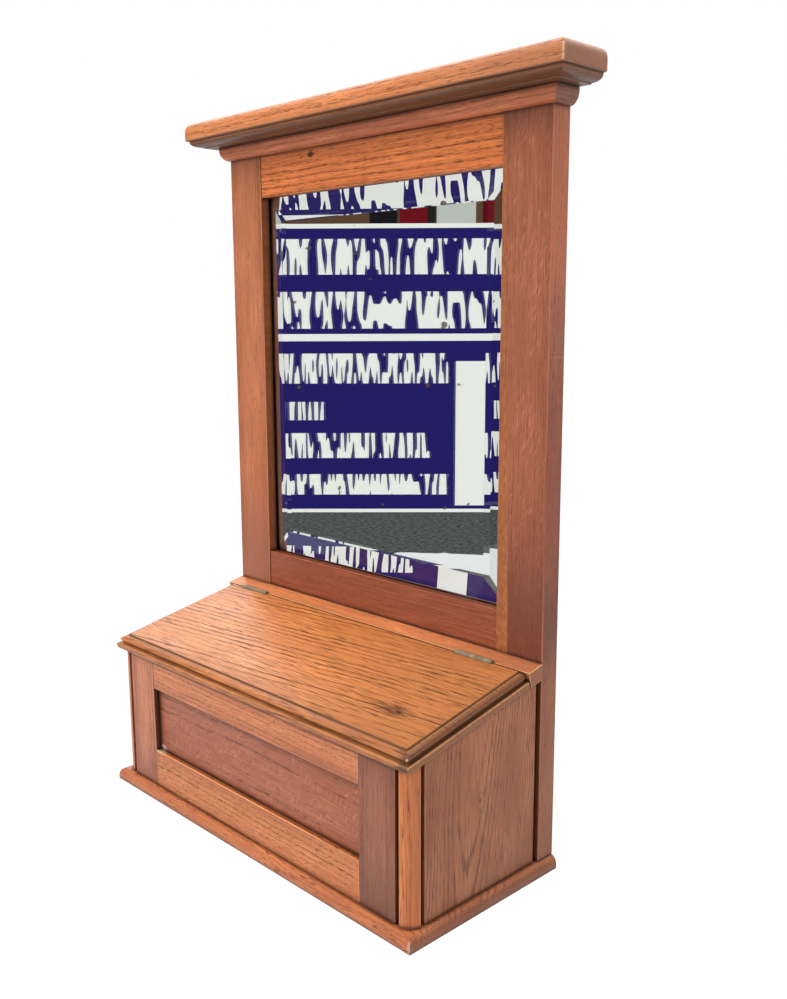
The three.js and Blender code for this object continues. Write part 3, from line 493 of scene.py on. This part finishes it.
def nose_highlight(corner_x, corner_y, lowest, size):
    """A painted highlight on the lid's upper nose at its corner."""
    def paint(g, wood, tone, place):
        reach = spot_distance(g, place[0], place[1], (corner_x, corner_y), (size, size))
        mask = g.times(g.ease(reach, 0.6, 1.2, 0.8, 0.0), g.math("GREATER_THAN", place[2], lowest))
        return g.mix(mask, wood, PALE_WEAR_AND_HIGHLIGHT)
    return paint


def soffit_line(overhang_at, face_y, half):
    """The dark quirk along the inner side of the cornice's ovolo, given by its reach from the frame: dirt and
    painted shade on the faces that look down.
    """
    def paint(g, wood, tone, place):
        x, y, z = place
        reach = g.math("MAXIMUM", g.add(g.math("ABSOLUTE", x), -half), g.math("SUBTRACT", face_y, y))
        facing = g.node("SeparateXYZ", {0: g.node("TexCoord").outputs["Normal"]}).outputs[2]
        mask = g.times(line(g, reach, *overhang_at), g.math("LESS_THAN", facing, -0.2))
        return g.mix(g.times(mask, 0.9), wood, GRIME_AND_SHADE)
    return paint


def lid_edge(half, front):
    """The dark quirk round the lid's field, and the duller, rubbed moulding outside it. On the right side the
    moulding is darker with painted shade, and its groove with dirt and painted shade.
    """
    def paint(g, wood, tone, place):
        x, y, z = place
        facing = g.node("SeparateXYZ", {0: g.node("TexCoord").outputs["Normal"]}).outputs[2]
        upper = g.ease(facing, -0.5, -0.3)
        inward = g.math("MINIMUM", g.math("SUBTRACT", half, g.math("ABSOLUTE", x)), g.add(y, -front))
        rubbed = g.noise(g.vector(g.times(x, 1 / 22), g.times(y, 1 / 22), 3.0), detail=3)
        side = g.times(g.ease(x, half - 12, half - 7), upper)
        dull = g.times(g.ease(inward, 9.6, 10.4, 1.0, 0.0), g.ease(rubbed, 0.36, 0.62, 0.75, 0.15))
        wood = g.mix(g.times(dull, upper), wood, tinted(tone, 0.50, 0.50, 0.62))
        # The moulding's right side: painted shade.
        wood = g.mix(g.times(side, 0.8), wood, tinted(tone, 0.30, 0.40, 0.72))
        pale = g.times(line(g, inward, 8.0, 9.0), g.ease(side, 0.0, 1.0, 0.15, 0.6))
        wood = g.mix(g.times(pale, upper), wood, tinted(tone, 0.9, 1.35, 2.4))
        lip = g.times(g.ease(inward, 0.6, 1.8, 1.0, 0.0), g.ease(facing, 0.2, 0.5, 0.0, 0.6))
        wood = g.mix(lip, wood, tinted(tone, 0.95, 1.3, 2.4))
        face = g.times(g.ease(inward, 0.3, 1.0, 1.0, 0.0), g.ease(side, 0.0, 1.0, 0.6, 0.1))
        wood = g.mix(face, wood, tinted(tone, 1.15, 1.15, 2.0))
        # The groove on the right side: dirt and painted shade.
        groove = g.times(line(g, inward, 1.2, 5.5), side)
        wood = g.mix(g.times(groove, g.ease(facing, -0.2, 0.3, 0.9, 0.5)), wood, GRIME_AND_SHADE)
        quirk = g.times(line(g, inward, 9.2, 10.4), upper)
        return g.mix(g.times(quirk, 0.9), wood, PORE)
    return paint


def side_light_and_shade(face_x):
    """The outer face of the stile: painted shade browns it low down, and painted light brightens it towards
    the top. It is also lighter at its foot.
    """
    def paint(g, wood, tone, place):
        x, y, z = place
        side = g.math("GREATER_THAN", x, face_x)
        low = g.times(g.ease(z, 190, 260), g.ease(z, 380, 440, 1.0, 0.0))
        wood = g.mix(g.times(side, g.times(low, 0.8)), wood, tinted(tone, 0.95, 0.60, 0.40))
        wood = g.mix(g.times(side, g.ease(z, 150, 220, 0.8, 0.0)), wood, tinted(tone, 1.25, 1.3, 1.05))
        return g.mix(g.times(side, g.ease(z, 380, 520, 0.0, 0.8)), wood, tinted(tone, 1.9, 1.6, 1.35))
    return paint


def dark_reveal(face_x):
    """Dirt and shadow on the inner edge of a stile, beside the panel."""
    def paint(g, wood, tone, place):
        return g.mix(g.times(g.math("GREATER_THAN", place[0], face_x), 0.85), wood, GRIME_AND_SHADE)
    return paint


def shaded_right_end(left, right, factors, strength):
    """Painted shade: less bright towards the board's right end."""
    def paint(g, wood, tone, place):
        return g.mix(g.ease(place[0], left, right, 0.0, strength), wood, tinted(tone, *factors))
    return paint


def dark_foot(high, low, factors, strength):
    """Darker towards the foot of an upright board, between two heights."""
    def paint(g, wood, tone, place):
        return g.mix(g.ease(place[2], low, high, strength, 0.0), wood, tinted(tone, *factors))
    return paint


def several(*paints):
    def paint(g, wood, tone, place):
        for one in paints:
            wood = one(g, wood, tone, place)
        return wood
    return paint


def box_mm(name):
    low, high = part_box(name)
    return low * PER_MM, high * PER_MM


# Places on the boards that the paints need, in mm.
STILE_LOW, STILE_HIGH = box_mm("stile_right")
FRAME_HALF = STILE_HIGH.x
FRAME_FACE = STILE_LOW.y
SIGHT_HALF = STILE_LOW.x                           # half the mirror opening's width
STILE_SIDE = STILE_HIGH.x - 0.7                    # less the eased outer arris
REVEAL = box_mm("box_front_stile_left")[1].x - 0.4 # the stile is dark from here to its inner edge
LID_LOW, LID_HIGH = box_mm("lid")
LID_HALF = LID_HIGH.x
LID_FRONT = LID_LOW.y - 1.6                        # the front edge, at the height of the sloping top face
LID_NOSE = (LID_HIGH.x - 3.2, LID_LOW.y + 2.0)     # the nose at the right front corner
NOSE_LOWEST = 144.0
CORNICE_LOW, CORNICE_HIGH = box_mm("cornice_board")
CORNICE_CORNER = (CORNICE_HIGH.x, CORNICE_LOW.y)
BASE_LOW, BASE_HIGH = box_mm("base_board")
BASE_CORNER = (BASE_HIGH.x - 0.7, BASE_LOW.y + 0.8)

BOARDS = {
    "cornice_board": dict(tone=(0.74, 0.262, 0.092), grain=FRONT_H, seed=1, arris=0.3, ring=6, band=0.3,
                          pith=(560, -60), patina=0.2, open_grain=0.03, under_shade=0.9, wear=0.2,
                          dash=(11, 0.45), sway=1.5,
                          extra=several(shaded_right_end(60, 190, (0.66, 0.72, 0.95), 0.75),
                                        worn_corner(*CORNICE_CORNER, 2.4),
                                        soffit_line((17.8, 19.8), FRAME_FACE, FRAME_HALF))),
    # Painted light: the front bed mould's tone is raised over the side moulds', for light thrown up onto it
    # from below.
    "bed_mould_front": dict(tone=(0.76, 0.240, 0.098), grain=FRONT_H, seed=2, arris=0.2, pores=0.4, band=0.2),
    "bed_mould_left": dict(tone=(0.40, 0.14, 0.07), grain=SIDE_H, seed=3, arris=0.2, pores=0.4, band=0.2),
    "bed_mould_right": dict(tone=(0.32, 0.115, 0.062), grain=SIDE_H, seed=4, arris=0.2, pores=0.4, band=0.2),
    "top_rail": dict(tone=(0.80, 0.225, 0.054), grain=FRONT_H, seed=5, arris=0.4, ring=6, band=0.3,
                     dash=(11, 0.45), sway=1.5, pith=(560, 60), patina=0.25, open_grain=0.03,
                     extra=stain((-76.8, 599.9, 2), (5, 3), PORE, 0.9)),
    "bottom_rail": dict(tone=(0.31, 0.078, 0.032), grain=FRONT_H, seed=6, arris=0.6, band=0.15, pores=0.5,
                        pith=(0, 160), ring=2.5, dash=(6, 0.5), wear=0.9),
    # Its darker foot is painted shade, near the box and hinge rail.
    "stile_left": dict(tone=(0.54, 0.180, 0.078), grain=FRONT_V, seed=7, arris=0.7, band=0.12, pores=0.5,
                       ring=2.2, pith=(0, 200),
                       extra=several(dark_foot(320, 200, (0.60, 0.64, 0.80), 0.8),
                                     arris_highlight(-SIGHT_HALF, -1, 380, 0, 567, 6))),
    # Its darker foot is painted shade, near the box and hinge rail.
    "stile_right": dict(tone=(0.37, 0.118, 0.056), grain=FRONT_V, seed=8, arris=0.7, band=0.12, pores=0.5,
                        ring=2.2, pith=(0, 200), fleck=0.55, fleck_turn=24,
                        extra=several(dark_foot(350, 210, (0.42, 0.35, 0.35), 0.85), side_light_and_shade(STILE_SIDE),
                                      arris_highlight(SIGHT_HALF, 1, 180, 12, 567, 4.5))),
    "hinge_rail": dict(tone=(0.76, 0.265, 0.100), grain=FLAT_X, seed=9, arris=0.5, band=0.3, pores=0.6,
                       wear=0.8,
                       extra=shaded_right_end(40, 200, (0.55, 0.55, 0.70), 0.75)),
    "lid": dict(tone=(0.74, 0.262, 0.072), grain=FLAT_X, seed=10, arris=0.3, ring=5.5, band=0.62, pores=0.9,
                early_end=0.5, pith=(-112, 96), lean=(0.06, 0.05), sway=3, dash=(24, 0.48), open_grain=0.04,
                patina=0.3, rim_width=42.0, cloud=0.45, grime_and_shade=0.55, wear=0.2, knots=[(150, -43, 5)],
                extra=several(shaded_right_end(-60, 190, (0.66, 0.70, 0.85), 0.7),
                              stain((142, -43, 1), (21, 6), PORE, 0.65, 1.3),
                              lid_edge(LID_HALF, LID_FRONT), nose_highlight(*LID_NOSE, NOSE_LOWEST, 1.5))),
    "base_board": dict(tone=(0.60, 0.195, 0.070), grain=FLAT_X, seed=11, arris=0.35, ring=5, band=0.3,
                       open_grain=0.02, extra=worn_corner(*BASE_CORNER, 2.6)),
    "corner_post_left": dict(tone=(0.56, 0.19, 0.08), grain=FRONT_V, seed=12, arris=0.3, dash=(16, 0.5),
                             patina=0.0),
    "corner_post_right": dict(tone=(0.64, 0.200, 0.066), grain=FRONT_V, seed=13, arris=0.3, dash=(16, 0.5),
                              patina=0.0),
    "box_side_left": dict(tone=(0.36, 0.130, 0.058), grain=SIDE_V, seed=14, arris=0.5, ring=5.5, band=0.55,
                          pith=(-20, -150), lean=(0.05, 0.12), pores=0.8, early_end=0.45, dash=(22, 0.6)),
    "box_side_right": dict(tone=(0.46, 0.158, 0.060), grain=SIDE_V, seed=15, arris=0.5, ring=2.6, band=0.42,
                           pith=(-22, 160), lean=(0.10, 0.05), pores=0.75, early_end=0.5, sway=6,
                           dash=(20, 0.5), open_grain=0.03, cloud=0.75, knots=[(90.2, -3.2, 3.5)]),
    "box_front_stile_left": dict(tone=(0.54, 0.190, 0.092), grain=FRONT_V, seed=16, arris=0.5, band=0.15,
                                 pores=0.5, ring=3, pith=(0, 150), patina=0.6, rim_width=22.0,
                                 extra=several(dark_foot(60, 20, (0.62, 0.60, 0.62), 0.8),
                                               dark_reveal(REVEAL))),
    "box_front_stile_right": dict(tone=(0.29, 0.097, 0.048), grain=FRONT_V, seed=17, arris=0.5, band=0.15,
                                  pores=0.5, ring=3, pith=(0, 150), patina=0.6,
                                  extra=dark_foot(70, 15, (0.60, 0.60, 0.66), 0.8)),
    "box_front_top_rail": dict(tone=(0.61, 0.205, 0.084), grain=FRONT_H, seed=18, arris=0.5, band=0.2,
                               pores=0.55, patina=0.5, dash=(5, 0.5), open_grain=0.03, wear=0.8),
    "box_front_bottom_rail": dict(tone=(0.61, 0.200, 0.066), grain=FRONT_H, seed=19, arris=0.5, band=0.25,
                                  ring=5, dash=(6, 0.5), open_grain=0.03, wear=0.9,
                                  extra=stain((-138.5, 47.7, 2), (8, 1.6), BARE_RAIL, 0.9, 0.15)),
    "box_front_panel": dict(tone=(0.36, 0.105, 0.048), grain=FRONT_H, seed=20, arris=0.3, band=0.2,
                            pores=0.6, ring=2.6, pith=(0, 150), fleck=0.6, fleck_turn=64, patina=0.7,
                            extra=stain((-139.8, 49.6, 2), (6.5, 3.2), BARE_PANEL, 0.95, 0.2)),
    "box_back": dict(tone=(0.30, 0.17, 0.09), grain=FRONT_H, seed=21, arris=0.3, gloss=0.7, wear=0.2),
    "mirror_backing": dict(tone=(0.33, 0.20, 0.11), grain=FRONT_V, seed=22, arris=0.3, gloss=0.7, wear=0.2),
}

STEEL_STARTS = ("base_screw", "backing_brad", "box_back_nail")
SILVER_GAP = 0.05 * MM             # between the glass and the silvering behind it


def dress(node, *materials):
    node.data.materials.clear()
    for material in materials:
        node.data.materials.append(material)


def dress_boards():
    for name, board in BOARDS.items():
        look = dict(board)
        arris = look.pop("arris")
        low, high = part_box(name)
        places = ["XYZ".index(axis) for axis in board["grain"][:2]]
        look["spans"] = [(low[place] * PER_MM, high[place] * PER_MM) for place in places]
        wood = oak("oak_" + name, **look)
        dress(nodes[name], wood, wood)
        ease_arrises(nodes[name], arris * MM)


def dress_hardware():
    brass_finish = brass()
    steel_finish = steel()
    for name, node in nodes.items():
        if name in BOARDS or name == "mirror_glass":
            continue
        dress(node, steel_finish if name.startswith(STEEL_STARTS) else brass_finish)
        node.modifiers.new("weld", "NODES").node_group = WELD
        node.modifiers.new("smooth", "NODES").node_group = SMOOTH


def sheet(name, corners, material):
    """A flat four-cornered piece or card."""
    mesh = bpy.data.meshes.new(name)
    mesh.from_pydata(corners, [], [(0, 1, 2, 3)])
    mesh.materials.append(material)
    made = bpy.data.objects.new(name, mesh)
    bpy.context.scene.collection.objects.link(made)
    return made


def mirror_plate():
    """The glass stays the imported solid, and a silvered sheet lies behind it."""
    dress(nodes["mirror_glass"], glass())
    low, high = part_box("mirror_glass")
    back = high.y + SILVER_GAP
    corners = [(low.x, back, low.z), (high.x, back, low.z), (high.x, back, high.z), (low.x, back, high.z)]
    silvering = sheet("mirror_silvering", corners, silver())
    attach(silvering, "cabinet")


# ---------------------------------------------------------------- stage

SKY_STRENGTH = 0.92
GLOSS_BEHIND = 2.3         # the blown-out background, as the gloss sees it
GLOSS_BEFORE = 0.35        # the dim room in front
GLOSS_LEAN = 0.9           # how far the bright side turns from the rear to the left
GLOSS_REACH = (0.2, 0.9)   # where it starts and is full
SUN_STRENGTH = 2.3
SUN_ANGLE = math.radians(30)
SUN_FROM = Vector((-0.42, -0.56, 0.71))

CARD_FOOT = Vector((-1.024, -0.951, 0.0))     # where the card's foot shows in the mirror
CARD_ALONG = Vector((0.7071, -0.7071, 0.0))
CARD_HALF = 0.75
CARD_HEIGHT = 0.655
SHEET_EDGE = 0.97                             # how far the white sheet under the object reaches
# Rows of shapeless pale marks on the card: foot, head, left, right and size, in mm.
MARK_ROWS = ((544, 622, -900, 900, 10), (424, 506, -900, 900, 12), (300, 368, -330, 62, 8),
             (216, 258, -330, -225, 8), (128, 186, -330, 22, 8), (42, 90, -330, 62, 9))
CARD_RULES = ((0, 8), (396, 412), (645, 655))                      # foot and head, in mm
CARD_PANEL = ((78, 147), (16, 350))                                # sides, then foot and head, in mm
CARD_NAVY = (0.020, 0.015, 0.135)
CARD_PALE = (0.93, 0.92, 0.88)
CARD_RUST = (0.11, 0.075, 0.045)
MARK_HEIGHT = 80
MARK_LEVEL = 0.47                             # noise over this is pale
ROOM_PLACE = CARD_FOOT * 1.35                 # behind the card
ROOM_HALF = 3.0
ROOM_HEIGHT = 2.0
# Upright strips of the room: left, right and colour.
ROOM_STRIPS = ((-135, -60, (0.012, 0.010, 0.014)), (-55, 20, (0.16, 0.008, 0.014)),
               (45, 150, (0.55, 0.57, 0.52)), (168, 196, (0.10, 0.006, 0.010)))
FLOOR_REACH = 30.0


def make_world():
    """White to the camera, soft and even on the wood, and a bright rear and dim front in its gloss."""
    world = bpy.data.worlds.new("studio")
    bpy.context.scene.world = world
    world.use_nodes = True
    g = Graph.of_tree(world.node_tree)
    path = g.node("LightPath").outputs
    direction = g.node("SeparateXYZ", {0: g.node("TexCoord").outputs["Generated"]}).outputs
    rear_left = g.math("SUBTRACT", direction[1], g.times(direction[0], GLOSS_LEAN))
    gloss = g.ease(rear_left, *GLOSS_REACH, GLOSS_BEFORE, GLOSS_BEHIND)
    even = g.node("Background", {"Color": (1.0, 0.985, 0.97, 1), "Strength": SKY_STRENGTH}).outputs[0]
    glossy = g.node("Background", {"Color": (1.0, 0.99, 0.98, 1), "Strength": gloss}).outputs[0]
    white = g.node("Background", {"Color": (1, 1, 1, 1)}).outputs[0]
    lit = g.node("MixShader", {0: path["Is Glossy Ray"], 1: even, 2: glossy}).outputs[0]
    seen = g.node("MixShader", {0: path["Is Camera Ray"], 1: lit, 2: white}).outputs[0]
    g.tree.links.new(seen, g.node("OutputWorld").inputs["Surface"])


def make_sun():
    data = bpy.data.lights.new("key", "SUN")
    data.energy = SUN_STRENGTH
    data.angle = SUN_ANGLE
    data.color = (1.0, 0.975, 0.94)
    sun = bpy.data.objects.new("key", data)
    sun.rotation_euler = SUN_FROM.to_track_quat("Z", "Y").to_euler()
    sun.visible_glossy = False
    sun.visible_transmission = False
    bpy.context.scene.collection.objects.link(sun)


def reflected_card(name, foot, half, low, high, material):
    """A plain upright card of the stage, which shows only in reflections."""
    a = foot - CARD_ALONG * half
    b = foot + CARD_ALONG * half
    corners = [(a.x, a.y, low), (b.x, b.y, low), (b.x, b.y, high), (a.x, a.y, high)]
    made = sheet(name, corners, material)
    made.visible_camera = False
    made.visible_diffuse = False
    made.visible_shadow = False


def card_material():
    """Plain navy with pale edges, a pale rule, a pale panel, rows of shapeless marks and some rust."""
    g = Graph("navy_card")
    x, y, z = g.place_mm()
    s = g.times(g.math("SUBTRACT", x, y), 0.7071)

    def between(value, low, high):
        return g.times(g.math("GREATER_THAN", value, low), g.math("LESS_THAN", value, high))

    pale = g.times(between(s, *CARD_PANEL[0]), between(z, *CARD_PANEL[1]))
    for low, high in CARD_RULES:
        pale = g.math("MAXIMUM", pale, between(z, low, high))
    for low, high, left, right, size in MARK_ROWS:
        blot = g.noise(g.vector(g.times(s, 1 / size), g.times(z, 1 / MARK_HEIGHT), low * 0.17), detail=0)
        row = g.times(between(z, low, high), between(s, left, right))
        pale = g.math("MAXIMUM", pale, g.times(row, g.math("GREATER_THAN", blot, MARK_LEVEL)))
    colour = g.mix(pale, CARD_NAVY, CARD_PALE)
    rust = g.noise(g.vector(g.times(s, 1 / 34), 0.0, g.times(z, 1 / 34)), detail=3)
    colour = g.mix(g.ease(rust, 0.70, 0.72, 0.0, 0.9), colour, CARD_RUST)
    return g.finish(g.node("Emission", {"Color": colour}).outputs[0])


def room_material():
    """The dim room over the card, with a dull red strip and a pale window."""
    g = Graph("dim_room")
    x, y, z = g.place_mm()
    s = g.times(g.math("SUBTRACT", x, y), 0.7071)
    patch = g.noise(g.vector(g.times(s, 1 / 160), 0.0, 3.0), detail=0)
    colour = g.mix(g.math("GREATER_THAN", patch, 0.55), (0.115, 0.060, 0.035), (0.020, 0.016, 0.014))
    for left, right, shade in ROOM_STRIPS:
        strip = g.times(g.math("GREATER_THAN", s, left), g.math("LESS_THAN", s, right))
        colour = g.mix(strip, colour, shade)
    return g.finish(g.node("Emission", {"Color": colour}).outputs[0])


def make_floor():
    """White to the camera, and in the mirror a white sheet that ends on dark gravel."""
    g = Graph("pale_floor")
    x, y, z = g.place_mm()
    away = g.times(g.add(x, y), -0.7071 * MM)
    edge = g.add(away, g.times(g.noise(g.vector(g.times(x, 1 / 90), g.times(y, 1 / 90), 0.0)), 0.12))
    gravel = g.noise(g.vector(g.times(x, 1 / 9), g.times(y, 1 / 9), 0.0), detail=4, roughness=0.8)
    dark = g.mix(g.ease(gravel, 0.3, 0.7), (0.022, 0.026, 0.028), (0.16, 0.17, 0.165))
    reflected = g.mix(g.math("GREATER_THAN", edge, SHEET_EDGE + 0.06), (0.9, 0.9, 0.9), dark)
    path = g.node("LightPath").outputs
    diffuse = g.node("BsdfDiffuse", {"Color": (0.45, 0.44, 0.43, 1)}).outputs[0]
    white = g.node("Emission", {"Color": (1, 1, 1, 1), "Strength": 1.12}).outputs[0]
    mirrored = g.node("Emission", {"Color": reflected}).outputs[0]
    seen = g.node("MixShader", {0: 0.90, 1: diffuse, 2: white}).outputs[0]
    shown = g.node("MixShader", {0: path["Is Glossy Ray"], 1: diffuse, 2: mirrored}).outputs[0]
    both = g.node("MixShader", {0: path["Is Camera Ray"], 1: shown, 2: seen}).outputs[0]
    corners = [(x * FLOOR_REACH, y * FLOOR_REACH, 0) for x, y in ((-1, -1), (1, -1), (1, 1), (-1, 1))]
    floor = sheet("floor", corners, g.finish(both))


def make_stage():
    make_world()
    make_sun()
    make_floor()
    reflected_card("navy_card", CARD_FOOT, CARD_HALF, 0.0, CARD_HEIGHT, card_material())
    reflected_card("dim_room", ROOM_PLACE, ROOM_HALF, 0.0, ROOM_HEIGHT, room_material())


bpy.context.scene.view_settings.view_transform = "Standard"
make_camera()
dress_boards()
mirror_plate()
dress_hardware()
make_stage()
